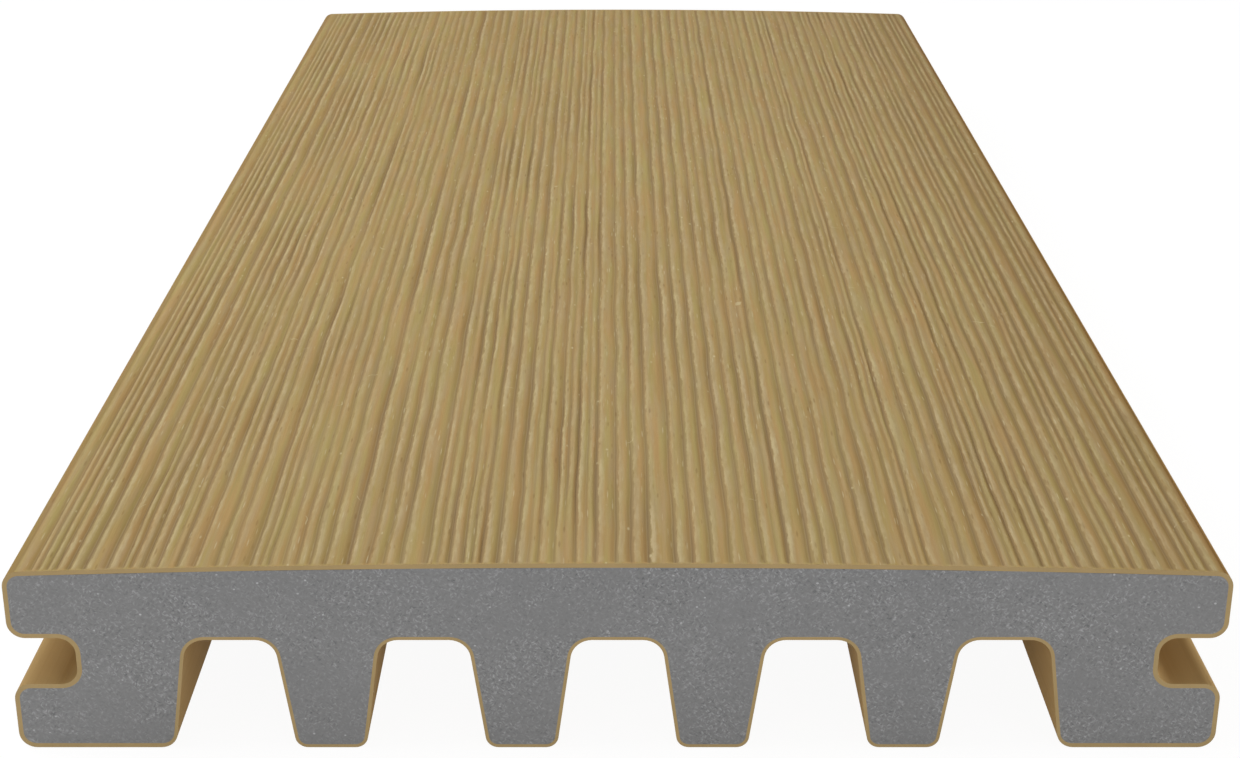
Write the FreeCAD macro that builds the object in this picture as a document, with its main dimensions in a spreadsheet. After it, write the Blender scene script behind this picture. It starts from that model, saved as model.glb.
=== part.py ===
"""Capped composite decking board: a ribbed core inside a thin co-extruded cap, cut to a short length.

X runs across the board, Y along it and Z up. The origin is on the underside, at mid length, below
the middle of the crown.
"""

import FreeCAD, Part
import os

import Sketcher

# Driving dimensions, in millimetres and degrees
SIZES = {
    "board_width": 140.0,  # over the two long edges
    "board_thickness": 24.0,  # from the feet to the top of the crown
    "board_length": 300.0,  # between the two cut ends
    "crown_rise": 1.1,  # the middle of the deck stands this far above its long edges
    "deck_thickness": 9.8,  # from the top of the crown down to the channels' ceilings
    "edge_leg_width": 18.3,  # foot outside the outermost channels, up to its sharp corners
    "rib_width": 8.15,  # foot between two channels, up to its sharp corners
    "channel_count": 5,
    "flank_angle": 8.0,  # the channels' flanks lean this far off the upright
    "groove_depth": 7.6,  # clip groove in each long edge
    "groove_height": 6.0,
    "lower_lip_height": 8.45,  # from the feet up to the groove's floor
    "cap_wall": 0.55,  # cap on the deck, the edges, the grooves and the edge legs' feet
    "channel_cap_wall": 0.4,  # thinner cap inside the channels and under the ribs
    "edge_round": 2.0,  # deck edges, groove lips and edge legs' feet
    "groove_round": 2.0,  # inside corners of the grooves
    "channel_round": 2.5,  # inside corners of the channels' ceilings
    "rib_round": 1.5,  # ribs' feet
}

# Sizes that follow from the driving ones: the channels share the width between the edge legs
HALF_WIDTH = "(Sizes.board_width / 2)"
CROWN_RADIUS = f"(({HALF_WIDTH}^2 + Sizes.crown_rise^2) / (2 * Sizes.crown_rise))"
CHANNEL_DEPTH = "(Sizes.board_thickness - Sizes.deck_thickness)"
CHANNELS_EDGE = f"({HALF_WIDTH} - Sizes.edge_leg_width)"
CHANNEL_MOUTH = (
    f"((2 * {CHANNELS_EDGE} - (Sizes.channel_count - 1) * Sizes.rib_width) / Sizes.channel_count)"
)
CHANNEL_PITCH = f"({CHANNEL_MOUTH} + Sizes.rib_width)"
OUTER_CHANNEL = f"({CHANNELS_EDGE} - {CHANNEL_MOUTH} / 2)"
FLANK_ANGLE = "(Sizes.flank_angle * 1 deg)"
CHANNEL_CEILING = f"({CHANNEL_MOUTH} - 2 * {CHANNEL_DEPTH} * tan({FLANK_ANGLE}))"
UPPER_LIP = "(Sizes.board_thickness - Sizes.crown_rise - Sizes.lower_lip_height - Sizes.groove_height)"

# Two rounds that share a face take no more than this share of it each
ROUND_SHARE = 0.48
LIP_LIMIT = f"{ROUND_SHARE} * min({UPPER_LIP}; Sizes.lower_lip_height)"
CEILING_LIMIT = f"{ROUND_SHARE} * {CHANNEL_CEILING} / tan(45 deg - {FLANK_ANGLE} / 2)"
EDGE_ROUND = f"min(Sizes.edge_round; {LIP_LIMIT})"
CHANNEL_ROUND = f"min(Sizes.channel_round; {CEILING_LIMIT})"

# How a sketch refers to its own origin point, its axes and the points of a line or arc
VERTICAL_AXIS, HORIZONTAL_AXIS = range(-2, 0)
START, END, CENTRE = range(1, 4)
ORIGIN = (HORIZONTAL_AXIS, START)

MATCH_TOLERANCE = 1e-4


def fill_sheet(doc):
    sheet = doc.addObject("Spreadsheet::Sheet", "Sizes")
    for row, (alias, value) in enumerate(SIZES.items(), start=1):
        sheet.set(f"A{row}", alias)
        sheet.set(f"B{row}", str(value))
        sheet.setAlias(f"B{row}", alias)
    doc.recompute()


def origin_feature(body, role):
    return next(item for item in body.Origin.OriginFeatures if item.Role == role)


def section_sketch(body, name):
    """An empty sketch across the board: its x is X, its y is Z."""
    sketch = body.newObject("Sketcher::SketchObject", name)
    sketch.AttachmentSupport = (origin_feature(body, "XZ_Plane"), [""])
    sketch.MapMode = "FlatFace"
    return sketch


def add_lines(sketch, corners):
    """A closed run of lines through the corners, joined end to start."""
    points = [FreeCAD.Vector(x, z, 0) for x, z in corners]
    lines = [Part.LineSegment(a, b) for a, b in zip(points, points[1:] + points[:1])]
    sketch.addGeometry(lines)
    for line in range(len(lines)):
        following = (line + 1) % len(lines)
        sketch.addConstraint(Sketcher.Constraint("Coincident", line, END, following, START))


def bind(sketch, name, formula, kind, *where):
    """A named dimension of the sketch that follows a formula of the sheet's cells."""
    value = sketch.evalExpression(formula)
    index = sketch.addConstraint(Sketcher.Constraint(kind, *where, value))
    sketch.renameConstraint(index, name)
    sketch.setExpression(f"Constraints.{name}", formula)


def sketch_blank(body, wall):
    """Board before it is grooved: upright sides, flat underside and a crowned top."""
    sketch = section_sketch(body, "blank_section")
    half = sketch.evalExpression(f"{HALF_WIDTH} - {wall}")
    shoulder = sketch.evalExpression(f"Sizes.board_thickness - Sizes.crown_rise - {wall}")
    crown = sketch.evalExpression(f"Sizes.board_thickness - {wall}")
    lower_left, lower_right = FreeCAD.Vector(-half, 0, 0), FreeCAD.Vector(half, 0, 0)
    upper_left, upper_right = FreeCAD.Vector(-half, shoulder, 0), FreeCAD.Vector(half, shoulder, 0)
    underside, right_side, top, left_side = sketch.addGeometry([
        Part.LineSegment(lower_left, lower_right),
        Part.LineSegment(lower_right, upper_right),
        Part.Arc(upper_right, FreeCAD.Vector(0, crown, 0), upper_left),
        Part.LineSegment(upper_left, lower_left),
    ])
    sketch.addConstraint([
        Sketcher.Constraint("Coincident", underside, END, right_side, START),
        Sketcher.Constraint("Coincident", right_side, END, top, START),
        Sketcher.Constraint("Coincident", top, END, left_side, START),
        Sketcher.Constraint("Coincident", left_side, END, underside, START),
        Sketcher.Constraint("Vertical", right_side),
        Sketcher.Constraint("Vertical", left_side),
        Sketcher.Constraint("Symmetric", underside, START, underside, END, VERTICAL_AXIS),
        Sketcher.Constraint("PointOnObject", underside, START, HORIZONTAL_AXIS),
        Sketcher.Constraint("PointOnObject", top, CENTRE, VERTICAL_AXIS),
    ])
    width = f"Sizes.board_width - 2 * {wall}"
    below = f"{CROWN_RADIUS} - Sizes.board_thickness"
    bind(sketch, "width", width, "DistanceX", underside, START, underside, END)
    bind(sketch, "crown_radius", f"{CROWN_RADIUS} - {wall}", "Radius", top)
    bind(sketch, "crown_centre", below, "DistanceY", top, CENTRE, *ORIGIN)
    return sketch


def sketch_rectangle(body, name, left, width, top, height):
    """An upright rectangle, with its upper left corner measured from the origin."""
    sketch = section_sketch(body, name)
    x, z = sketch.evalExpression(left), sketch.evalExpression(top)
    across, up = sketch.evalExpression(width), sketch.evalExpression(height)
    add_lines(sketch, [(x, z - up), (x + across, z - up), (x + across, z), (x, z)])
    lower, right, upper, left_side = range(4)
    sketch.addConstraint([
        Sketcher.Constraint("Horizontal", lower),
        Sketcher.Constraint("Vertical", right),
        Sketcher.Constraint("Horizontal", upper),
        Sketcher.Constraint("Vertical", left_side),
    ])
    bind(sketch, "left", left, "DistanceX", *ORIGIN, upper, END)
    bind(sketch, "width", width, "DistanceX", lower, START, lower, END)
    bind(sketch, "top", top, "DistanceY", *ORIGIN, upper, END)
    bind(sketch, "height", height, "DistanceY", right, START, right, END)
    return sketch


def sketch_channel(body, wall):
    """The leftmost channel: a trapezoid, wider at its mouth on the feet's plane than at its ceiling."""
    sketch = section_sketch(body, "channel_section")
    spread = f"{wall} / cos({FLANK_ANGLE})"
    mouth = f"{CHANNEL_MOUTH} + 2 * {spread}"
    start = f"{CHANNELS_EDGE} + {spread}"
    depth = f"{CHANNEL_DEPTH} + {wall}"
    left, across = -sketch.evalExpression(start), sketch.evalExpression(mouth)
    up = sketch.evalExpression(depth)
    lean = sketch.evalExpression(f"({depth}) * tan({FLANK_ANGLE})")
    add_lines(sketch, [(left, 0), (left + across, 0), (left + across - lean, up), (left + lean, up)])
    mouth_line, right_flank, ceiling, left_flank = range(4)
    sketch.addConstraint([
        Sketcher.Constraint("PointOnObject", mouth_line, START, HORIZONTAL_AXIS),
        Sketcher.Constraint("Horizontal", mouth_line),
        Sketcher.Constraint("Horizontal", ceiling),
        Sketcher.Constraint("Equal", right_flank, left_flank),
    ])
    bind(sketch, "start", start, "DistanceX", mouth_line, START, *ORIGIN)
    bind(sketch, "mouth", mouth, "DistanceX", mouth_line, START, mouth_line, END)
    bind(sketch, "depth", depth, "DistanceY", right_flank, START, right_flank, END)
    bind(sketch, "flank", f"90 deg + {FLANK_ANGLE}", "Angle", right_flank)
    return sketch


def pad_through(body, name, sketch):
    pad = body.newObject("PartDesign::Pad", name)
    pad.Profile = sketch
    pad.SideType = "Symmetric"
    pad.setExpression("Length", "Sizes.board_length")
    body.Document.recompute()


def cut_through(body, name, sketch):
    """A cut along the whole board, to both sides of the sketch at mid length."""
    before = body.Shape.Volume
    pocket = body.newObject("PartDesign::Pocket", name)
    pocket.Profile = sketch
    pocket.Type = "ThroughAll"
    pocket.SideType = "Symmetric"
    body.Document.recompute()
    if pocket.Shape.Volume >= before:
        raise RuntimeError(f"{body.Label}: {name} cuts nothing")
    return pocket


def mirror_across(body, name, feature):
    mirrored = body.newObject("PartDesign::Mirrored", name)
    mirrored.Originals = [feature]
    mirrored.MirrorPlane = (origin_feature(body, "YZ_Plane"), [""])
    body.Tip = mirrored
    body.Document.recompute()


def repeat_channels(body, feature):
    pattern = body.newObject("PartDesign::LinearPattern", "channels")
    pattern.Originals = [feature]
    pattern.Direction = (origin_feature(body, "X_Axis"), [""])
    pattern.Mode = "Spacing"
    pattern.setExpression("Offset", CHANNEL_PITCH)
    pattern.setExpression("Occurrences", "Sizes.channel_count")
    body.Tip = pattern
    body.Document.recompute()


def long_edges(shape):
    """Each edge along the board: its name and where it crosses the section."""
    for index, edge in enumerate(shape.Edges, start=1):
        start, end = edge.firstVertex().Point, edge.lastVertex().Point
        if (end - start).cross(FreeCAD.Vector(0, 1, 0)).Length < MATCH_TOLERANCE:
            yield f"Edge{index}", (start.x, start.z)


def sort_corners(body):
    """The section's sharp corners, by the round that they get."""
    side = body.evalExpression(f"{HALF_WIDTH} - Sizes.groove_depth / 2")
    leg = body.evalExpression(f"{CHANNELS_EDGE} + Sizes.edge_leg_width / 4")
    outer_channel = body.evalExpression(OUTER_CHANNEL)
    mid_channel = body.evalExpression(f"{CHANNEL_DEPTH} / 2")
    lip = body.evalExpression("Sizes.lower_lip_height / 2")
    corners = {"edge": [], "groove": [], "channel": [], "rib": []}
    for _, (x, z) in long_edges(body.Shape):
        if abs(x) > side:
            kind = "edge"
        elif abs(x) > leg and z > lip:
            kind = "groove"
        elif z > mid_channel:
            kind = "channel"
        elif abs(x) > outer_channel:
            kind = "edge"
        else:
            kind = "rib"
        corners[kind].append((x, z))
    return corners


def round_corners(body, name, corners, radius):
    def is_listed(place):
        return any(abs(place[0] - x) + abs(place[1] - z) < MATCH_TOLERANCE for x, z in corners)

    base = body.Tip
    names = [edge for edge, place in long_edges(base.Shape) if is_listed(place)]
    fillet = body.newObject("PartDesign::Fillet", name)
    fillet.Base = (base, names)
    fillet.setExpression("Radius", radius)
    body.Tip = fillet
    body.Document.recompute()


def make_section(doc, label, wall, channel_wall):
    """The board's form, or the core that lies a wall inside it: walls are formulas of the sheet."""
    body = doc.addObject("PartDesign::Body", label)
    body.Label = label
    pad_through(body, "blank", sketch_blank(body, wall))

    groove_section = sketch_rectangle(
        body,
        "groove_section",
        left=f"{HALF_WIDTH} - Sizes.groove_depth - {wall}",
        width=f"2 * Sizes.groove_depth + {wall}",
        top=f"Sizes.lower_lip_height + Sizes.groove_height + {wall}",
        height=f"Sizes.groove_height + 2 * {wall}",
    )
    mirror_across(body, "grooves", cut_through(body, "groove", groove_section))
    repeat_channels(body, cut_through(body, "channel", sketch_channel(body, channel_wall)))
    return body


def trim_feet(body):
    """The core's feet stop above the ground: a cap wall at the edges, a channel's wall under the ribs."""
    edge_section = sketch_rectangle(
        body,
        "edge_foot_section",
        left=OUTER_CHANNEL,
        width="2 * Sizes.edge_leg_width",
        top="Sizes.cap_wall",
        height="2 * Sizes.cap_wall",
    )
    mirror_across(body, "edge_feet", cut_through(body, "edge_foot", edge_section))
    rib_section = sketch_rectangle(
        body,
        "rib_foot_section",
        left=f"-{OUTER_CHANNEL}",
        width=f"2 * {OUTER_CHANNEL}",
        top="Sizes.channel_cap_wall",
        height="2 * Sizes.channel_cap_wall",
    )
    cut_through(body, "rib_feet", rib_section)


def round_section(body, wall, channel_wall):
    """Outside corners lose the wall that lies over them, inside corners gain it."""
    corners = sort_corners(body)
    round_corners(body, "edge_rounds", corners["edge"], f"{EDGE_ROUND} - {wall}")
    round_corners(body, "groove_rounds", corners["groove"], f"Sizes.groove_round + {wall}")
    round_corners(body, "channel_rounds", corners["channel"], f"{CHANNEL_ROUND} + {channel_wall}")
    round_corners(body, "rib_rounds", corners["rib"], f"Sizes.rib_round - {channel_wall}")


def make_form(doc):
    """Outer form of the whole board, which the cap is cut from."""
    form = make_section(doc, "board_form", "0", "0")
    round_section(form, "0", "0")
    return form


def make_core(doc):
    """Grey core: the same section, inside the cap."""
    core = make_section(doc, "core", "Sizes.cap_wall", "Sizes.channel_cap_wall")
    trim_feet(core)
    round_section(core, "Sizes.cap_wall", "Sizes.channel_cap_wall")
    return core


def make_cap(doc, form, core):
    """Tan cap: what the form has outside the core, open at the two cut ends."""
    cap = doc.addObject("Part::Cut", "cap")
    cap.Label = "cap"
    cap.Base = form
    cap.Tool = core
    doc.recompute()
    return cap


def check(doc, pieces):
    for item in doc.Objects:
        if "Invalid" in item.State or "Error" in item.State:
            raise RuntimeError(f"{item.Label} failed: {item.State}")
    for piece in pieces:
        shape = piece.Shape
        if shape.isNull() or not shape.isValid() or len(shape.Solids) != 1:
            raise RuntimeError(f"{piece.Label} isn't one valid solid")


def main():
    doc = FreeCAD.newDocument("decking_board")
    fill_sheet(doc)
    form = make_form(doc)
    core = make_core(doc)
    cap = make_cap(doc, form, core)
    pieces = [core, cap]
    check(doc, pieces)
    os.makedirs("parts", exist_ok=True)
    for piece in pieces:
        piece.Shape.exportStep(f"parts/{piece.Label}.step")
        box = piece.Shape.BoundBox
        size = f"{box.XLength:.2f} x {box.YLength:.2f} x {box.ZLength:.2f} mm"
        print(f"{piece.Label}: {size}, {piece.Shape.Volume:.1f} mm3")


main()
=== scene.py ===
"""Looks of the capped composite decking board: an embossed cap over a speckled core, on a white floor."""

import math

import bpy
import numpy as np
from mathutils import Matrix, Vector
from mathutils.geometry import tessellate_polygon


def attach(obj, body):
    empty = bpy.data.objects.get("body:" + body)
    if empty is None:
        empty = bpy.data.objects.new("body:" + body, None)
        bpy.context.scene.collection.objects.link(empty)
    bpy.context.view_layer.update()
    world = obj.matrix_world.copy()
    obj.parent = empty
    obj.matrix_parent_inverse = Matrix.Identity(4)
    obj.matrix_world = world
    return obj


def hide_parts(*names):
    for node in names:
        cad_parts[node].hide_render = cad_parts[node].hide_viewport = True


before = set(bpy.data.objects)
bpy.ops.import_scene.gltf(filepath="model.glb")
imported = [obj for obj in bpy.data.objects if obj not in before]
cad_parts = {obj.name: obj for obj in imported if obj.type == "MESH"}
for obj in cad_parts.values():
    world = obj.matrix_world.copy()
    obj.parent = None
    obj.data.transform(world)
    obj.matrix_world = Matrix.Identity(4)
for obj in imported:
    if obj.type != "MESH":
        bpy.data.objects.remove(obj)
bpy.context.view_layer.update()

MM = 0.001

# Section of the board, in millimetres, as the solids have it
BOARD_WIDTH = 140.0
BOARD_THICKNESS = 24.0
BOARD_LENGTH = 300.0
CROWN_RISE = 1.1
DECK_THICKNESS = 9.8
EDGE_LEG_WIDTH = 18.3
RIB_WIDTH = 8.15
CHANNEL_COUNT = 5
FLANK_ANGLE = math.radians(8.0)
GROOVE_DEPTH = 7.6
GROOVE_HEIGHT = 6.0
LOWER_LIP_HEIGHT = 8.45
CAP_WALL = 0.55
CHANNEL_CAP_WALL = 0.4
EDGE_ROUND = 2.0
GROOVE_ROUND = 2.0
CHANNEL_ROUND = 2.5
RIB_ROUND = 1.5
HALF_WIDTH = BOARD_WIDTH / 2
HALF_LENGTH = BOARD_LENGTH / 2
CHANNEL_DEPTH = BOARD_THICKNESS - DECK_THICKNESS
CHANNELS_EDGE = HALF_WIDTH - EDGE_LEG_WIDTH
CHANNEL_MOUTH = (2 * CHANNELS_EDGE - (CHANNEL_COUNT - 1) * RIB_WIDTH) / CHANNEL_COUNT
CROWN_RADIUS = (HALF_WIDTH**2 + CROWN_RISE**2) / (2 * CROWN_RISE)
CROWN_CHORD = 10.0
ARC_STEP = math.radians(11)
INNER_CROWN_POINTS = 33
TOUCH = 0.001
DECK_MARGIN = 0.1
ROUND_MARGIN = 0.05
SHARP_ANGLE = math.radians(55)
DECK_KIND, SMOOTH_KIND, CUT_KIND = range(3)

# Embossed grain of the deck, in millimetres; the ridges along each long edge are listed from the edge
# inwards, each with its width and the depth of the valley on its inner side
GRAIN_SEED = 41
DECK_EDGE = 69.1
GRAIN_EDGE = 68.95
LEFT_STRIP = 0.45
LEFT_RIDGES = (
    (1.83, 0.2), (0.85, 0.16), (1.0, 0.2), (1.05, 0.21), (1.4, 0.26),
    (1.8, 0.32), (2.6, 0.2), (1.75, 0.18), (0.9, 0.16), (1.45, 0.25),
)
RIGHT_RIDGES = (
    (1.75, 0.31), (1.35, 0.2), (0.95, 0.21), (1.75, 0.25), (2.45, 0.3),
    (1.85, 0.27), (1.35, 0.2), (1.0, 0.17), (1.85, 0.24), (1.95, 0.22),
)
OUTERMOST_DEPTH = 0.06
RIDGE_WIDTH = 2.08
RIDGE_WIDTH_SPREAD = 0.45
RIDGE_WIDTH_LIMITS = (1.0, 3.2)
RIDGE_DEPTHS = (0.11, 0.26)
DEPTH_WIDTHS = (1.35, 2.4)
DEPTH_SPREAD = 0.04
SPLIT_WIDTH = 1.9
SPLIT_CHANCE = 0.3
SPLIT_SHARES = (0.42, 0.6)
SPLIT_DEPTHS = (0.09, 0.15)
SPLIT_FADE = (0.75, 0.6)
RIDGE_RISE = 0.8
RIDGE_FALL = 1.5
MOST_RISE_SHARE = 0.36
MOST_FALL_SHARE = 0.64
FALL_CURVE = 1.7
CREST_WIDTH = 1.6
FADE_LENGTH = 0.9
DEPTH_LIMITS = (0.01, 0.32)
DEEPEST = 0.42

# How the valleys bend along the board, in millimetres, and how their depths change, as shares;
# they are looser away from the long edges
LOOSE_REACH = 14.0
DRIFT = 0.13
SWAY = 0.045
EDGE_JITTER = 0.012
LOOSE_JITTER = 0.018
EDGE_SWING = 0.06
LOOSE_SWING = 0.1
FRONT_DEPTH = 1.07
BACK_DEPTH = 0.83
SIDE_DEPTH = 0.08

# Points of the deck: rows closer together at the board's ends, and columns on each ridge's rise and fall
ROW_STEP = 1.75
END_ROWS = (0.0, 0.3, 0.6, 0.95, 1.5)
FEW_COLUMNS = 1.5
NARROW_STEPS = ((0.55, 1.1), (0.55, 0.25))
WIDE_STEPS = ((0.35, 0.7, 1.05), (0.75, 0.5, 0.24))

# Painted shade in brown: in the valleys, on the rounded long edges (the left one partly just browner) and
# growing towards the deck's right edge and back; also a browner band near the left edge. 1 is the full
# painted shade of a valley
FULL_SHADE_DEPTH = 0.28
MOST_SHADE = 1.1
# Rounded long edges: the left one browner, the right one darker with painted shade where it turns from the
# key light
EDGE_SHADES = {-1: 0.85, 1: 1.2}
# Painted shade growing towards the right edge, away from the key light, and stronger towards the back; the
# left values make a browner band
RIGHT_PAINTED_SHADE = 0.55
RIGHT_PAINTED_SHADE_START = 10.0
LEFT_TONE = 0.17
LEFT_TONE_PLACE = -58.5
LEFT_TONE_REACH = 5.0
BACK_PAINTED_SHADE = 0.2

# Short strokes in the sawn core: slant in degrees, place of its own, pale or dark, strength
STROKES = (
    (30, 3.1, True, 0.28), (-55, 7.7, True, 0.28), (75, 12.3, True, 0.25), (-20, 17.9, True, 0.25),
    (60, 23.3, False, 0.44), (-40, 29.0, False, 0.44), (5, 34.6, False, 0.4),
)

# Floor and surroundings, in metres and strengths of light
FLOOR_SIZE = 6.0
FLOOR_HEIGHT = -0.0001
FLOOR_COLOUR = (0.85, 0.85, 0.85, 1.0)
FLOOR_WHITE = 0.9
FLOOR_LIGHT = 0.4
WORLD_LIGHT = 0.5
WHITE = (1.0, 1.0, 1.0, 1.0)

# Round lamps: name, place and width in metres, power in watts
LAMP_TARGET = (0.0, -0.02, 0.0)
LAMPS = (
    ("key", (-0.36, -0.02, 0.55), 0.45, 2.1),
    ("front_left", (-0.75, -1.05, 0.14), 0.4, 1.9),
    ("front_right", (0.75, -1.05, 0.14), 0.4, 1.7),
    ("side_right", (0.8, -0.1, 0.06), 0.1, 2.8),
    ("back", (0.2, 1.15, 0.05), 0.1, 1.5),
)

# Camera fitted to the photograph: its place and sensor in millimetres, its picture in pixels
IMAGE_WIDTH = 1240
IMAGE_HEIGHT = 758
FOCAL_PIXELS = 2175.72
CENTRE_COLUMN = 612.3
CENTRE_ROW = 413.7
CAMERA_PITCH = math.radians(22.3715)
CAMERA_PLACE = (-0.597, -371.183, 133.353)
SENSOR_WIDTH = 36.0
CLIP_START = 10.0


def srgb(red, green, blue):
    """Linear colour of an sRGB triple from 0 to 255."""
    def linear(value):
        value /= 255
        return value / 12.92 if value <= 0.04045 else ((value + 0.055) / 1.055) ** 2.4
    return (linear(red), linear(green), linear(blue), 1.0)


def crown_height(x, wall=0.0):
    """Height of the crowned top, or of the core's top a wall below it."""
    return BOARD_THICKNESS - CROWN_RADIUS + np.sqrt((CROWN_RADIUS - wall) ** 2 - np.square(x))


def section_corners(wall, channel_wall):
    """Sharp corners of the section and their rounds, from the right shoulder round below to the left one."""
    lean = math.tan(FLANK_ANGLE)
    spread = channel_wall / math.cos(FLANK_ANGLE)
    side = HALF_WIDTH - wall
    groove_wall = HALF_WIDTH - GROOVE_DEPTH - wall
    roof = LOWER_LIP_HEIGHT + GROOVE_HEIGHT + wall
    floor = LOWER_LIP_HEIGHT - wall
    ceiling = CHANNEL_DEPTH + channel_wall
    edge_round = EDGE_ROUND - wall
    groove_round = GROOVE_ROUND + wall
    channel_round = CHANNEL_ROUND + channel_wall
    half = [
        (side, float(crown_height(side, wall)), edge_round),
        (side, roof, edge_round),
        (groove_wall, roof, groove_round),
        (groove_wall, floor, groove_round),
        (side, floor, edge_round),
        (side, wall, edge_round),
    ]
    middle = []
    for index in range(CHANNEL_COUNT):
        centre = (CHANNEL_COUNT - 1 - 2 * index) / 2 * (CHANNEL_MOUTH + RIB_WIDTH)
        mouth = CHANNEL_MOUTH / 2 + spread
        for hand in (1, -1):
            outermost = (index == 0 and hand == 1) or (index == CHANNEL_COUNT - 1 and hand == -1)
            foot = wall if outermost else channel_wall
            foot_round = edge_round if outermost else RIB_ROUND - channel_wall
            mouth_corner = (centre + hand * (mouth - foot * lean), foot, foot_round)
            ceiling_corner = (centre + hand * (mouth - ceiling * lean), ceiling, channel_round)
            middle += [mouth_corner, ceiling_corner] if hand == 1 else [ceiling_corner, mouth_corner]
    return half + middle + [(-x, z, r) for x, z, r in reversed(half)]


def round_corner(before, corner, after, radius):
    """Points of the arc that rounds a corner, tangent to its two sides."""
    corner = Vector(corner)
    back = (Vector(before) - corner).normalized()
    on = (Vector(after) - corner).normalized()
    turn = math.pi - back.angle(on)
    reach = radius * math.tan(turn / 2)
    centre = corner + (back + on).normalized() * (radius / math.cos(turn / 2))
    start, end = corner + back * reach - centre, corner + on * reach - centre
    steps = max(2, math.ceil(turn / ARC_STEP))
    points = []
    for step in range(steps + 1):
        share = step / steps
        along = start * math.sin((1 - share) * turn) + end * math.sin(share * turn)
        points.append(centre + along / math.sin(turn))
    return points


def section_outline(wall, channel_wall):
    """Rounded section below the crown, from the right end of the crown to its left end."""
    corners = section_corners(wall, channel_wall)
    inward = corners[0][0] - CROWN_CHORD
    crown = (inward, float(crown_height(inward, wall)))
    run = [crown] + [(x, z) for x, z, _ in corners] + [(-crown[0], crown[1])]
    points = []
    for index, (x, z, radius) in enumerate(corners):
        points += round_corner(run[index], (x, z), run[index + 2], radius)
    return points


class Ripple:
    """Smooth random waves over the deck, about one unit high; their lengths are in millimetres."""

    def __init__(self, rng, along, across, count=6):
        self.along = rng.uniform(*along, count) * rng.choice([-1, 1], count)
        self.across = rng.uniform(*across, count)
        self.phase = rng.uniform(0, 2 * math.pi, count)
        self.weight = rng.uniform(0.5, 1.0, count)
        self.weight /= np.sqrt(np.square(self.weight).sum() / 2)

    def __call__(self, across, along):
        total = 0.0
        for length, width, phase, weight in zip(self.along, self.across, self.phase, self.weight):
            total = total + weight * np.sin(2 * math.pi * (along / length + across / width) + phase)
        return total


def valley_lines(rng):
    """Places and depths of the valleys across the deck, and which of them only split a ridge."""
    free = 2 * GRAIN_EDGE - LEFT_STRIP - sum(width for width, _ in LEFT_RIDGES + RIGHT_RIDGES)
    widths = []
    while sum(widths) < free:
        widths.append(np.clip(rng.normal(RIDGE_WIDTH, RIDGE_WIDTH_SPREAD), *RIDGE_WIDTH_LIMITS))
    widths = np.array(widths) * free / sum(widths)
    shallow, deep = RIDGE_DEPTHS
    narrow, wide = DEPTH_WIDTHS
    own_depths = shallow + (deep - shallow) * smoothstep((widths - narrow) / (wide - narrow))
    valleys = (own_depths[:-1] + own_depths[1:]) / 2
    valleys += rng.uniform(-DEPTH_SPREAD, DEPTH_SPREAD, len(widths) - 1)

    ridges = [(width, depth, False) for width, depth in LEFT_RIDGES]
    for width, depth in zip(widths, [*valleys, RIGHT_RIDGES[-1][1]]):
        if width > SPLIT_WIDTH and rng.random() < SPLIT_CHANCE:
            part = width * rng.uniform(*SPLIT_SHARES)
            ridges.append((part, rng.uniform(*SPLIT_DEPTHS), True))
            width -= part
        ridges.append((width, depth, False))
    outwards = [depth for _, depth in RIGHT_RIDGES[-2::-1]] + [OUTERMOST_DEPTH]
    ridges += [(width, depth, False) for (width, _), depth in zip(RIGHT_RIDGES[::-1], outwards)]
    widths, depths, splits = zip(*ridges)
    places = np.concatenate([[0.0], np.cumsum(widths)]) - GRAIN_EDGE + LEFT_STRIP
    return places, (OUTERMOST_DEPTH,) + depths, (False,) + splits


def deck_rows():
    """Places along the board of the rows of points, closer together at the two ends."""
    inner = HALF_LENGTH - END_ROWS[-1]
    count = round(2 * inner / ROW_STEP)
    middle = np.linspace(-inner, inner, count + 1)
    ends = np.array(END_ROWS[:-1])
    return np.concatenate([-HALF_LENGTH + ends, middle, HALF_LENGTH - ends[::-1]])


def smoothstep(value):
    value = np.clip(value, 0.0, 1.0)
    return value * value * (3 - 2 * value)


def ridge_shares(width, rise, fall):
    """Where a ridge's columns stand across it: close together on its steep left and at its right foot."""
    rise_steps, fall_steps = NARROW_STEPS if width < FEW_COLUMNS else WIDE_STEPS
    return [0.0, *(step * rise for step in rise_steps), *(1 - step * fall for step in fall_steps)]


def deck_height(x, edge_centre):
    """Height of the smooth top across the board: the crown, then the start of the rounded edge."""
    past = np.clip(np.abs(x) - (HALF_WIDTH - EDGE_ROUND), 0.0, EDGE_ROUND)
    rounded = edge_centre + np.sqrt(EDGE_ROUND**2 - past**2)
    return np.where(past > 0, np.minimum(crown_height(x), rounded), crown_height(x))


def deck_tone_and_shade(place, rows):
    """Extra brown of the deck: painted shade growing towards its right edge and a browner band near its left
    edge, both stronger towards the back as painted shade.
    """
    right = RIGHT_PAINTED_SHADE * max(0.0, (place - RIGHT_PAINTED_SHADE_START) / (GRAIN_EDGE - RIGHT_PAINTED_SHADE_START)) ** 2
    left = LEFT_TONE * math.exp(-(((place - LEFT_TONE_PLACE) / LEFT_TONE_REACH) ** 2))
    return (right + left) * (1 + BACK_PAINTED_SHADE * rows / HALF_LENGTH)


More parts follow.
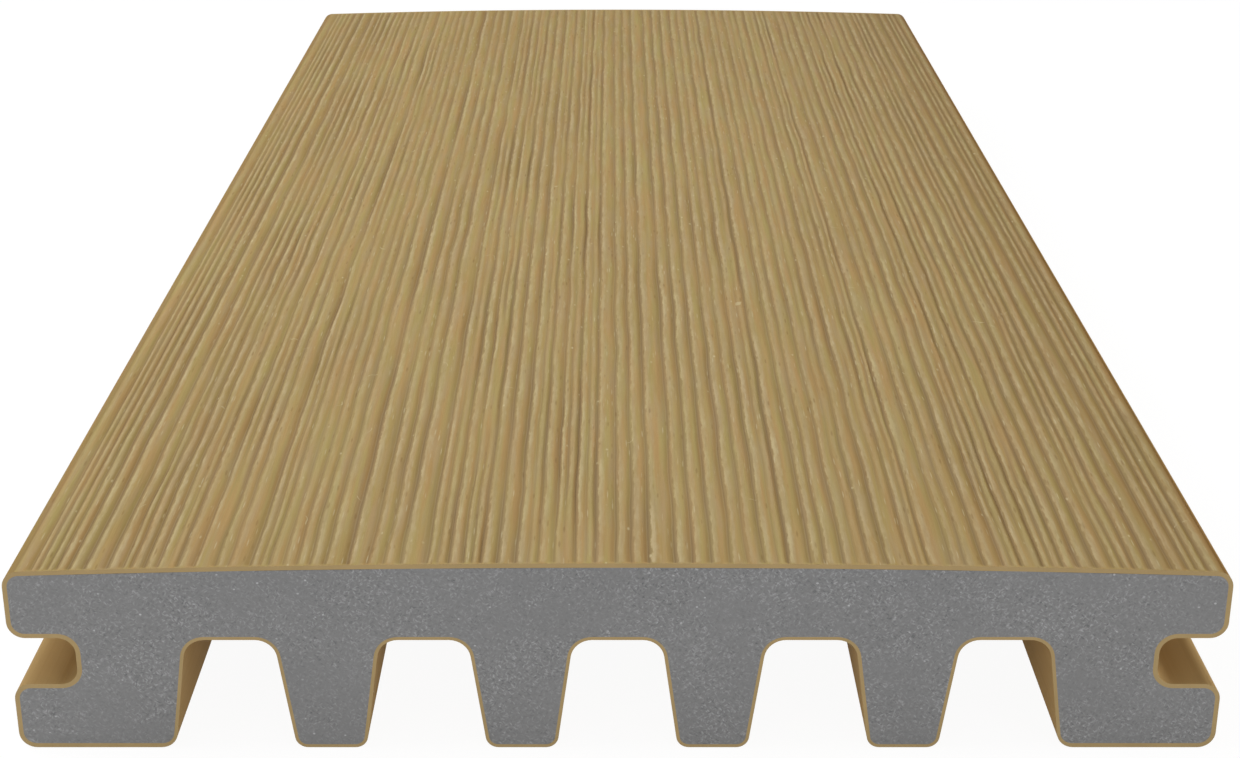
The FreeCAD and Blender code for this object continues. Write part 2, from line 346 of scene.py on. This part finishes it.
def bent_valleys(rng, rows, lines):
    """Where each valley runs along the board and how deep it is there."""
    drift = Ripple(rng, along=(110, 320), across=(40, 140))
    sway = Ripple(rng, along=(26, 70), across=(6, 22))
    strength = Ripple(rng, along=(30, 120), across=(6, 30))
    fade_ends = smoothstep((HALF_LENGTH - np.abs(rows)) / FADE_LENGTH)
    wear = FRONT_DEPTH + (BACK_DEPTH - FRONT_DEPTH) * (rows + HALF_LENGTH) / BOARD_LENGTH

    valleys, depths = [], []
    for place, base_depth, is_split in lines:
        loose = smoothstep((GRAIN_EDGE - abs(place)) / LOOSE_REACH)
        own = Ripple(rng, along=(9, 34), across=(50, 90), count=5)
        shift = loose * (DRIFT * drift(place, rows) + SWAY * sway(place, rows))
        valleys.append(place + shift + (EDGE_JITTER + LOOSE_JITTER * loose) * own(place, rows))
        depth = base_depth * wear * (1 - SIDE_DEPTH * place / HALF_WIDTH)
        depth = depth * (1 + (EDGE_SWING + LOOSE_SWING * loose) * strength(place, rows))
        if is_split:
            waxing = Ripple(rng, along=(60, 200), across=(50, 90), count=2)
            depth = depth * smoothstep(SPLIT_FADE[0] + SPLIT_FADE[1] * waxing(place, rows))
        depths.append(np.clip(depth, *DEPTH_LIMITS) * fade_ends)
    return valleys, depths


def deck_grid(edge_centre):
    """Columns of points along the embossed deck that follow its ridges, each with values for its material."""
    rng = np.random.default_rng(GRAIN_SEED)
    rows = deck_rows()
    places, base_depths, splits = valley_lines(rng)
    valleys, depths = bent_valleys(rng, rows, zip(places, base_depths, splits))
    columns = []

    def add(x, drop, place, falling, past_valley, shade, left_depth):
        height = deck_height(x, edge_centre) - drop
        # Each column's painted shade, with the deck's extra painted shade and browner band added
        columns.append((x, height, place, falling, past_valley, shade + deck_tone_and_shade(place, rows), left_depth))

    flat = np.zeros_like(rows)
    # Painted shade of each valley from its depth, capped so that with the extra shade it stays below
    # MOST_SHADE
    left_shades = [
        np.clip(depth / FULL_SHADE_DEPTH, 0, MOST_SHADE - deck_tone_and_shade(place, rows))
        for place, depth in zip(places, depths)
    ]
    # The outermost columns take the painted shade of the rounded long edges
    shades = [flat + EDGE_SHADES[-1], *left_shades[1:-1], flat + EDGE_SHADES[1]]
    add(flat - DECK_EDGE, flat, -DECK_EDGE, 1.0, RIDGE_FALL, shades[0], flat)
    for index in range(len(places) - 1):
        left, right = valleys[index], valleys[index + 1]
        width = places[index + 1] - places[index]
        rise, fall = min(MOST_RISE_SHARE, RIDGE_RISE / width), min(MOST_FALL_SHARE, RIDGE_FALL / width)
        for share in ridge_shares(width, rise, fall):
            up = 1 - smoothstep(share / rise)
            down = np.clip((share - 1 + fall) / fall, 0, 1) ** FALL_CURVE
            drop = np.clip(depths[index] * up + depths[index + 1] * down, 0, DEEPEST)
            # Painted shade: the right flank darkens towards the next valley, and is full at the valley itself
            falling, shade = (down, shades[index + 1] * down) if share else (1.0, shades[index])
            x, place = left + (right - left) * share, places[index] + width * share
            past_valley = min(max(width, CREST_WIDTH) * share, RIDGE_FALL)
            add(x, drop, place, falling, past_valley, shade, left_shades[index])
    add(valleys[-1], depths[-1], places[-1], 1.0, RIDGE_FALL, shades[-1], flat)
    add(flat + DECK_EDGE, flat, DECK_EDGE, 1.0, RIDGE_FALL, shades[-1], flat)
    return rows, columns


def cap_outlines():
    """Outer section below the deck, inner section round the core, and the height where top rounds start."""
    outer = [(point.x, point.y) for point in section_outline(0.0, 0.0)]
    edge_centre = max(z for x, z in outer if x > HALF_WIDTH - TOUCH)
    outer = [(x, z) for x, z in outer if z < edge_centre + TOUCH or abs(x) > DECK_EDGE + DECK_MARGIN]
    inner = [(point.x, point.y) for point in section_outline(CAP_WALL, CHANNEL_CAP_WALL)]
    crown = np.linspace(HALF_WIDTH - EDGE_ROUND, -HALF_WIDTH + EDGE_ROUND, INNER_CROWN_POINTS)
    inner += [(x, float(crown_height(x, CAP_WALL))) for x in crown[-2:0:-1]]
    return outer, inner, edge_centre


class CapSkin:
    """The cap's closed mesh in the making: points with values for the material, and faces of three kinds."""

    def __init__(self, rows, columns, outer, inner):
        self.row_count, self.column_count = len(rows), len(columns)
        self.vertices, self.grain, self.relief = [], [], []
        self.faces, self.kinds = [], []
        for x, z, place, falling, past_valley, shade, left_depth in columns:
            for row, y in enumerate(rows):
                self.vertices.append((x[row], y, z[row]))
                self.grain.append((place, y, falling))
                self.relief.append((past_valley, shade[row], left_depth[row]))
        self.outer = [self.add_section(outer, y) for y in (-HALF_LENGTH, HALF_LENGTH)]
        self.inner = [self.add_section(inner, y) for y in (-HALF_LENGTH, HALF_LENGTH)]

    def add_section(self, points, y):
        """Adds a section's points at one end of the board, and gives their numbers."""
        first = len(self.vertices)
        self.vertices += [(x, y, z) for x, z in points]
        self.grain += [(x, y, 1.0) for x, _ in points]
        # Section points carry the long edges' painted shade, which the rounded shoulders show
        self.relief += [(RIDGE_FALL, EDGE_SHADES[1 if x > 0 else -1], 0.0) for x, _ in points]
        return range(first, len(self.vertices))

    def deck_point(self, column, row):
        return column * self.row_count + row

    def add_face(self, kind, *corners):
        self.faces.append(corners)
        self.kinds.append(kind)

    def add_deck(self):
        """The embossed top."""
        for column in range(self.column_count - 1):
            for row in range(self.row_count - 1):
                front = self.deck_point(column, row), self.deck_point(column + 1, row)
                back = self.deck_point(column + 1, row + 1), self.deck_point(column, row + 1)
                self.add_face(DECK_KIND, *front, *back)

    def add_shoulders(self):
        """Narrow fans from the outermost columns of the deck to the long edges beside them."""
        last = self.column_count - 1
        half = self.row_count // 2
        for row in range(self.row_count - 1):
            section = self.outer[0 if row < half else 1]
            self.add_face(DECK_KIND, self.deck_point(last, row), section[0], self.deck_point(last, row + 1))
            self.add_face(DECK_KIND, self.deck_point(0, row + 1), section[-1], self.deck_point(0, row))
        front, back = self.outer
        self.add_face(DECK_KIND, self.deck_point(last, half), front[0], back[0])
        self.add_face(DECK_KIND, self.deck_point(0, half), back[-1], front[-1])

    def add_outside(self, edge_centre):
        """Rounded shoulders, sides, grooves, feet and channels."""
        front, back = self.outer
        heights = [self.vertices[number][2] for number in front]
        for index in range(len(front) - 1):
            is_round = min(heights[index:index + 2]) > edge_centre - ROUND_MARGIN
            kind = DECK_KIND if is_round else SMOOTH_KIND
            self.add_face(kind, front[index], front[index + 1], back[index + 1], back[index])

    def add_inside(self):
        """Face that lies on the core."""
        front, back = self.inner
        for index in range(len(front)):
            following = (index + 1) % len(front)
            self.add_face(SMOOTH_KIND, front[following], front[index], back[index], back[following])

    def add_rim(self, end):
        """Flat ring of the cap at one cut end, 0 for the front and 1 for the back."""
        row = (0, self.row_count - 1)[end]
        facing = (1, -1)[end]
        ring = [self.deck_point(column, row) for column in range(self.column_count)] + list(self.outer[end])
        numbers = ring + list(self.inner[end])
        flat = [Vector((self.vertices[number][0], self.vertices[number][2], 0.0)) for number in numbers]
        for triangle in tessellate_polygon([flat[:len(ring)], flat[len(ring):]]):
            a, b, c = (flat[index].xy for index in triangle)
            corners = [numbers[index] for index in triangle]
            is_outward = (b - a).cross(c - a) * facing > 0
            self.add_face(CUT_KIND, *(corners if is_outward else corners[::-1]))


def build_cap(materials):
    """The whole cap as one closed mesh: embossed deck, smooth sides, grooves, channels and two cut rims."""
    outer, inner, edge_centre = cap_outlines()
    skin = CapSkin(*deck_grid(edge_centre), outer, inner)
    skin.add_deck()
    skin.add_shoulders()
    skin.add_outside(edge_centre)
    skin.add_inside()
    for end in range(2):
        skin.add_rim(end)

    mesh = bpy.data.meshes.new("cap_skin")
    mesh.from_pydata([tuple(c * MM for c in vertex) for vertex in skin.vertices], [], skin.faces)
    for material in materials:
        mesh.materials.append(material)
    mesh.polygons.foreach_set("material_index", skin.kinds)
    for name, vectors in (("grain", skin.grain), ("relief", skin.relief)):
        mesh.attributes.new(name, "FLOAT_VECTOR", "POINT").data.foreach_set("vector", np.ravel(vectors))
    mesh.polygons.foreach_set("use_smooth", [True] * len(skin.faces))
    mesh.set_sharp_from_angle(angle=SHARP_ANGLE)
    mesh.update()
    piece = bpy.data.objects.new("cap_skin", mesh)
    bpy.context.scene.collection.objects.link(piece)
    return piece


class Shader:
    """A material's node tree, with short ways to add nodes and links."""

    def __init__(self, name):
        self.material = bpy.data.materials.new(name)
        self.material.use_nodes = True
        self.tree = self.material.node_tree
        self.surface = self.tree.nodes["Principled BSDF"]

    def node(self, kind, **settings):
        node = self.tree.nodes.new("ShaderNode" + kind)
        for name, value in settings.items():
            setattr(node, name, value)
        return node

    def put(self, socket, value):
        if isinstance(value, bpy.types.NodeSocket):
            self.tree.links.new(value, socket)
        else:
            socket.default_value = value

    def math(self, operation, *values):
        node = self.node("Math", operation=operation)
        for socket, value in zip(node.inputs, values):
            self.put(socket, value)
        return node.outputs[0]

    def times(self, first, second):
        return self.math("MULTIPLY", first, second)

    def plus(self, first, second):
        return self.math("ADD", first, second)

    def attribute(self, name):
        return self.node("Attribute", attribute_name=name)

    def parts(self, vector):
        node = self.node("SeparateXYZ")
        self.put(node.inputs[0], vector)
        return node.outputs

    def scaled(self, vector, scale, offset=(0.0, 0.0, 0.0)):
        node = self.node("Mapping")
        self.put(node.inputs["Vector"], vector)
        node.inputs["Scale"].default_value = scale
        node.inputs["Location"].default_value = offset
        return node.outputs[0]

    def noise(self, vector, scale, offset=(0.0, 0.0, 0.0), detail=2.0, roughness=0.5):
        """Soft noise over a vector that is scaled along each axis by itself."""
        node = self.node("TexNoise")
        self.put(node.inputs["Vector"], self.scaled(vector, scale, offset))
        node.inputs["Scale"].default_value = 1.0
        node.inputs["Detail"].default_value = detail
        node.inputs["Roughness"].default_value = roughness
        return node.outputs["Fac"]

    def cells(self, vector, scale, offset=(0.0, 0.0, 0.0)):
        """Distance to the nearest of many scattered points, and a random number of that point's own."""
        node = self.node("TexVoronoi", feature="F1")
        self.put(node.inputs["Vector"], self.scaled(vector, scale, offset))
        node.inputs["Scale"].default_value = 1.0
        own = self.node("SeparateColor")
        self.put(own.inputs[0], node.outputs["Color"])
        return node.outputs["Distance"], own.outputs[0]

    def ramp(self, value, low, high, to_low=0.0, to_high=1.0):
        node = self.node("MapRange", interpolation_type="SMOOTHSTEP")
        for name, number in (("From Min", low), ("From Max", high), ("To Min", to_low), ("To Max", to_high)):
            node.inputs[name].default_value = number
        self.put(node.inputs["Value"], value)
        return node.outputs["Result"]

    def mix(self, share, first, second):
        node = self.node("Mix", data_type="RGBA", clamp_factor=True)
        self.put(node.inputs["Factor"], share)
        self.put(node.inputs[6], first)
        self.put(node.inputs[7], second)
        return node.outputs[2]

    def bump(self, height, strength, distance):
        node = self.node("Bump")
        node.inputs["Strength"].default_value = strength
        node.inputs["Distance"].default_value = distance
        self.put(node.inputs["Height"], height)
        return node.outputs["Normal"]

    def finish(self, colour, roughness, normal, specular=0.35):
        self.put(self.surface.inputs["Base Color"], colour)
        self.put(self.surface.inputs["Roughness"], roughness)
        self.put(self.surface.inputs["Normal"], normal)
        self.surface.inputs["Specular IOR Level"].default_value = specular
        return self.material


def ridge_colour(shader, place, fibre, thread, patch):
    """Tan of the ridges: olive to rosy, with browner patches and fibres, pale threads and cooler streaks."""
    cast = shader.noise(place, (0.8, 0.04, 0.0), (7.3, 2.1, 0.0), detail=2.0)
    cool = shader.noise(place, (0.9, 0.07, 0.0), (31.7, 5.9, 0.0), detail=2.0)
    ridge = shader.mix(shader.ramp(cast, 0.3, 0.7), srgb(178, 160, 103), srgb(185, 152, 102))
    ridge = shader.mix(shader.ramp(patch, 0.35, 0.7, 0.0, 0.35), ridge, srgb(167, 140, 91))
    ridge = shader.mix(shader.ramp(fibre, 0.32, 0.72, 0.0, 0.3), ridge, srgb(153, 126, 79))
    ridge = shader.mix(shader.ramp(thread, 0.56, 0.78, 0.0, 0.25), ridge, srgb(194, 176, 126))
    return shader.mix(shader.ramp(cool, 0.42, 0.72, 0.0, 0.45), ridge, srgb(176, 155, 120))


def flank_light_and_shade(shader, colour, place, patch, step, left_depth):
    """Steep left side of each ridge, facing the key light: painted light on the flank, painted shade at its
    foot and a cream painted highlight along the crest, patchy like a worn edge.
    """
    falling = shader.parts(place)["Z"]
    # Painted light: the steep side is paler where it faces the key light
    flank = shader.times(left_depth, shader.ramp(step, 0.9, 0.4, 0.0, 0.38))
    colour = shader.mix(flank, colour, srgb(176, 157, 122))
    # Painted shade at the foot of the steep side, down in the valley
    foot = shader.times(left_depth, shader.ramp(step, 0.16, 0.02, 0.0, 0.3))
    colour = shader.mix(foot, colour, srgb(110, 87, 59))
    rising = shader.times(shader.ramp(step, 0.1, 0.2), shader.ramp(step, 1.0, 0.28))
    rising = shader.times(rising, shader.ramp(falling, 0.4, 0.15))
    # Noise that makes the painted crest highlight patchy along its length, like a worn edge
    wear = shader.noise(place, (0.9, 0.11, 0.0), (3.9, 8.3, 0.0), detail=4.0, roughness=0.7)
    crest = shader.times(left_depth, rising)
    crest = shader.times(crest, shader.ramp(wear, 0.38, 0.66, 0.12, 0.8))
    # Cream colours of the painted crest highlight
    pale = shader.mix(shader.ramp(patch, 0.4, 0.6), srgb(198, 182, 137), srgb(196, 177, 138))
    return shader.mix(crest, colour, pale)


def fleck_colour(shader, colour, place, nick, on_top):
    """Cream slivers, brown dents, pale flecks and stray hairs, strewn over the deck."""
    near, pick = shader.cells(place, (3.4, 0.24, 0.0))
    sliver = shader.times(shader.ramp(near, 0.34, 0.12), shader.ramp(pick, 0.75, 1.0, 0.0, 0.5))
    colour = shader.mix(shader.times(sliver, on_top), colour, srgb(208, 195, 158))
    near, pick = shader.cells(place, (2.0, 0.3, 0.0), (11.3, 4.7, 0.0))
    dent = shader.times(shader.ramp(near, 0.34, 0.14), shader.ramp(pick, 0.75, 1.0, 0.0, 0.38))
    colour = shader.mix(dent, colour, srgb(128, 99, 60))

    near, pick = shader.cells(place, (0.8, 0.32, 0.0))
    ragged = shader.plus(near, shader.times(nick, 0.35))
    fleck = shader.times(shader.ramp(ragged, 0.34, 0.2), shader.ramp(pick, 0.8, 0.95))
    fleck = shader.times(fleck, shader.times(on_top, 0.6))
    colour = shader.mix(fleck, colour, srgb(214, 200, 158))

    curl = shader.noise(place, (0.19, 0.13, 0.0), detail=1.0)
    line = shader.ramp(shader.math("ABSOLUTE", shader.math("SUBTRACT", curl, 0.5)), 0.006, 0.002)
    where = shader.ramp(shader.noise(place, (0.23, 0.17, 0.0)), 0.66, 0.7)
    hair = shader.times(shader.times(line, where), on_top)
    return shader.mix(shader.times(hair, 0.5), colour, srgb(212, 198, 156))


def deck_material():
    """Embossed top of the cap: tan ridges, brown painted shade in the valleys, painted light and highlights
    on the steep flanks and crests, flecks and fine fibres.
    """
    shader = Shader("cap_deck")
    place = shader.attribute("grain").outputs["Vector"]
    relief = shader.parts(shader.attribute("relief").outputs["Vector"])
    past_valley, shade, left_depth = relief["X"], relief["Y"], relief["Z"]
    fibre = shader.noise(place, (1.7, 0.05, 0.0), detail=4.0, roughness=0.62)
    thread = shader.noise(place, (4.6, 0.16, 0.0), detail=3.0, roughness=0.6)
    patch = shader.noise(place, (0.09, 0.014, 0.0), detail=2.0)
    nick = shader.noise(place, (2.0, 0.4, 0.0), detail=4.0, roughness=0.65)

    # Painted shade: brown mixed in by the shade attribute, in the valleys and on the long edges
    valley_shade_share = shader.times(shader.math("POWER", shade, 1.2), 0.53)
    colour = shader.mix(valley_shade_share, ridge_colour(shader, place, fibre, thread, patch), srgb(122, 91, 50))
    ragged = shader.times(shader.plus(nick, shader.times(thread, 0.4)), 0.8)
    step = shader.math("SUBTRACT", shader.plus(past_valley, 0.31), ragged)
    colour = flank_light_and_shade(shader, colour, place, patch, step, left_depth)
    colour = fleck_colour(shader, colour, place, nick, shader.ramp(shade, 1.0, 0.6))

    height = shader.plus(shader.times(fibre, 0.7), shader.times(thread, 0.5))
    height = shader.plus(height, shader.times(nick, 0.4))
    normal = shader.bump(height, 0.55, 0.00016)
    roughness = shader.ramp(fibre, 0.3, 0.7, 0.6, 0.75)
    return shader.finish(colour, roughness, normal, specular=0.004)


def smooth_material():
    """Sides, grooves and underside of the cap: the same tan, drawn smooth through the die."""
    shader = Shader("cap_smooth")
    place = shader.node("TexCoord").outputs["Object"]
    lines = shader.noise(place, (2200.0, 9.0, 2200.0), detail=3.0, roughness=0.6)
    cloud = shader.noise(place, (60.0, 22.0, 60.0), detail=3.0)
    colour = shader.mix(shader.ramp(cloud, 0.3, 0.7), srgb(170, 142, 96), srgb(163, 135, 90))
    colour = shader.mix(shader.ramp(lines, 0.35, 0.75, 0.0, 0.3), colour, srgb(150, 121, 77))
    normal = shader.bump(lines, 0.3, 0.00006)
    return shader.finish(colour, shader.ramp(cloud, 0.3, 0.7, 0.62, 0.75), normal, specular=0.005)


def rim_material():
    """Sawn rim of the cap at the board's ends."""
    shader = Shader("cap_rim")
    place = shader.node("TexCoord").outputs["Object"]
    cloud = shader.noise(place, (240.0, 240.0, 240.0), detail=3.0)
    grit = shader.noise(place, (3600.0, 3600.0, 3600.0), detail=2.0)
    colour = shader.mix(shader.ramp(cloud, 0.3, 0.7), srgb(158, 134, 89), srgb(152, 129, 85))
    normal = shader.bump(grit, 0.25, 0.00005)
    return shader.finish(colour, shader.ramp(grit, 0.3, 0.7, 0.55, 0.68), normal)


def core_material():
    """Sawn composite core: mid grey with clusters of short pale and dark strokes and a few bright specks."""
    shader = Shader("core_composite")
    place = shader.node("TexCoord").outputs["Object"]
    cloud = shader.noise(place, (130.0, 130.0, 130.0), detail=3.0)
    cluster = shader.ramp(shader.noise(place, (170.0, 170.0, 170.0), detail=3.0), 0.36, 0.64, 0.42, 1.0)
    grit = shader.noise(place, (3000.0, 3000.0, 3000.0), detail=2.0, roughness=0.6)
    colour = shader.mix(shader.ramp(cloud, 0.3, 0.7), srgb(120, 120, 120), srgb(122, 122, 122))
    pale_grit = shader.times(shader.ramp(grit, 0.5, 0.72, 0.0, 0.35), cluster)
    colour = shader.mix(pale_grit, colour, srgb(150, 150, 150))
    dark_grit = shader.times(shader.ramp(grit, 0.48, 0.28, 0.0, 0.35), cluster)
    colour = shader.mix(dark_grit, colour, srgb(95, 95, 96))

    for angle, seed, is_pale, most in STROKES:
        turn = shader.node("Mapping")
        shader.put(turn.inputs["Vector"], place)
        turn.inputs["Rotation"].default_value = (0.0, math.radians(angle), 0.0)
        turn.inputs["Location"].default_value = (seed, 0.0, seed)
        near, pick = shader.cells(turn.outputs[0], (1450.0, 2400.0, 4600.0))
        stroke = shader.times(shader.ramp(near, 0.5, 0.2), shader.ramp(pick, 0.5, 1.0, 0.0, most))
        grey = srgb(190, 190, 191) if is_pale else srgb(80, 80, 81)
        colour = shader.mix(shader.times(stroke, cluster), colour, grey)

    near, pick = shader.cells(place, (1100.0, 1100.0, 1400.0))
    ragged = shader.plus(near, shader.times(grit, 0.3))
    speck = shader.times(shader.ramp(ragged, 0.36, 0.22), shader.ramp(pick, 0.86, 1.0, 0.0, 0.5))
    colour = shader.mix(speck, colour, srgb(206, 206, 207))
    normal = shader.bump(grit, 0.35, 0.00008)
    return shader.finish(colour, shader.ramp(grit, 0.3, 0.7, 0.62, 0.78), normal, specular=0.1)


def seen_directly(tree):
    """One for rays from the camera and for mirrored or refracted ones, else nought."""
    path = tree.nodes.new("ShaderNodeLightPath")
    total = path.outputs["Is Camera Ray"]
    for name in ("Is Glossy Ray", "Is Transmission Ray"):
        add = tree.nodes.new("ShaderNodeMath")
        add.operation = "ADD"
        add.use_clamp = True
        tree.links.new(total, add.inputs[0])
        tree.links.new(path.outputs[name], add.inputs[1])
        total = add.outputs[0]
    return total


def floor_material():
    """White paper that keeps a faint shadow and is clear from below."""
    material = bpy.data.materials.new("floor_paper")
    material.use_nodes = True
    tree = material.node_tree
    diffuse = tree.nodes["Principled BSDF"]
    diffuse.inputs["Base Color"].default_value = FLOOR_COLOUR
    diffuse.inputs["Roughness"].default_value = 0.9
    diffuse.inputs["Specular IOR Level"].default_value = 0.0
    diffuse.inputs["Emission Color"].default_value = WHITE
    diffuse.inputs["Emission Strength"].default_value = FLOOR_LIGHT
    glow = tree.nodes.new("ShaderNodeEmission")
    share = tree.nodes.new("ShaderNodeMath")
    share.operation = "MULTIPLY"
    share.inputs[1].default_value = FLOOR_WHITE
    tree.links.new(seen_directly(tree), share.inputs[0])
    blend = tree.nodes.new("ShaderNodeMixShader")
    tree.links.new(share.outputs[0], blend.inputs["Fac"])
    tree.links.new(diffuse.outputs[0], blend.inputs[1])
    tree.links.new(glow.outputs[0], blend.inputs[2])
    clear = tree.nodes.new("ShaderNodeBsdfTransparent")
    sides = tree.nodes.new("ShaderNodeMixShader")
    tree.links.new(tree.nodes.new("ShaderNodeNewGeometry").outputs["Backfacing"], sides.inputs["Fac"])
    tree.links.new(blend.outputs[0], sides.inputs[1])
    tree.links.new(clear.outputs[0], sides.inputs[2])
    tree.links.new(sides.outputs[0], tree.nodes["Material Output"].inputs["Surface"])
    return material


def build_floor():
    """Square floor just below the feet."""
    mesh = bpy.data.meshes.new("floor")
    half = FLOOR_SIZE / 2
    corners = [(-half, -half), (half, -half), (half, half), (-half, half)]
    mesh.from_pydata([(x, y, FLOOR_HEIGHT) for x, y in corners], [], [(0, 1, 2, 3)])
    mesh.materials.append(floor_material())
    floor = bpy.data.objects.new("floor", mesh)
    bpy.context.scene.collection.objects.link(floor)


def build_world():
    """Even white surroundings, brighter to the camera than as a light."""
    world = bpy.data.worlds.new("studio")
    bpy.context.scene.world = world
    world.use_nodes = True
    tree = world.node_tree
    light = tree.nodes["Background"]
    light.inputs["Color"].default_value = WHITE
    light.inputs["Strength"].default_value = WORLD_LIGHT
    paper = tree.nodes.new("ShaderNodeBackground")
    paper.inputs["Color"].default_value = WHITE
    paper.inputs["Strength"].default_value = 1.0
    blend = tree.nodes.new("ShaderNodeMixShader")
    tree.links.new(seen_directly(tree), blend.inputs["Fac"])
    tree.links.new(light.outputs[0], blend.inputs[1])
    tree.links.new(paper.outputs[0], blend.inputs[2])
    tree.links.new(blend.outputs[0], tree.nodes["World Output"].inputs["Surface"])


def add_area_light(name, place, target, size, power):
    data = bpy.data.lights.new(name, "AREA")
    data.shape = "DISK"
    data.size = size
    data.energy = power
    lamp = bpy.data.objects.new(name, data)
    lamp.location = place
    lamp.rotation_euler = (Vector(target) - Vector(place)).to_track_quat("-Z", "Y").to_euler()
    bpy.context.scene.collection.objects.link(lamp)


def build_lights():
    for name, place, size, power in LAMPS:
        add_area_light(name, place, LAMP_TARGET, size, power)


def build_camera():
    data = bpy.data.cameras.new("camera")
    data.sensor_fit = "HORIZONTAL"
    data.sensor_width = SENSOR_WIDTH
    data.lens = FOCAL_PIXELS / IMAGE_WIDTH * SENSOR_WIDTH
    data.shift_x = (IMAGE_WIDTH / 2 - CENTRE_COLUMN) / IMAGE_WIDTH
    data.shift_y = (CENTRE_ROW - IMAGE_HEIGHT / 2) / IMAGE_WIDTH
    data.clip_start = CLIP_START * MM
    camera = bpy.data.objects.new("camera", data)
    camera.location = Vector(CAMERA_PLACE) * MM
    camera.rotation_euler = (math.pi / 2 - CAMERA_PITCH, 0.0, 0.0)
    bpy.context.scene.collection.objects.link(camera)
    bpy.context.scene.camera = camera


def dress_core():
    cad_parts["core"].material_slots[0].material = core_material()


def dress_cap():
    cap = build_cap([deck_material(), smooth_material(), rim_material()])
    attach(cap, "root")
    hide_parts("cap")


dress_core()
dress_cap()
build_floor()
build_world()
build_lights()
build_camera()
bpy.context.scene.view_settings.view_transform = "Standard"
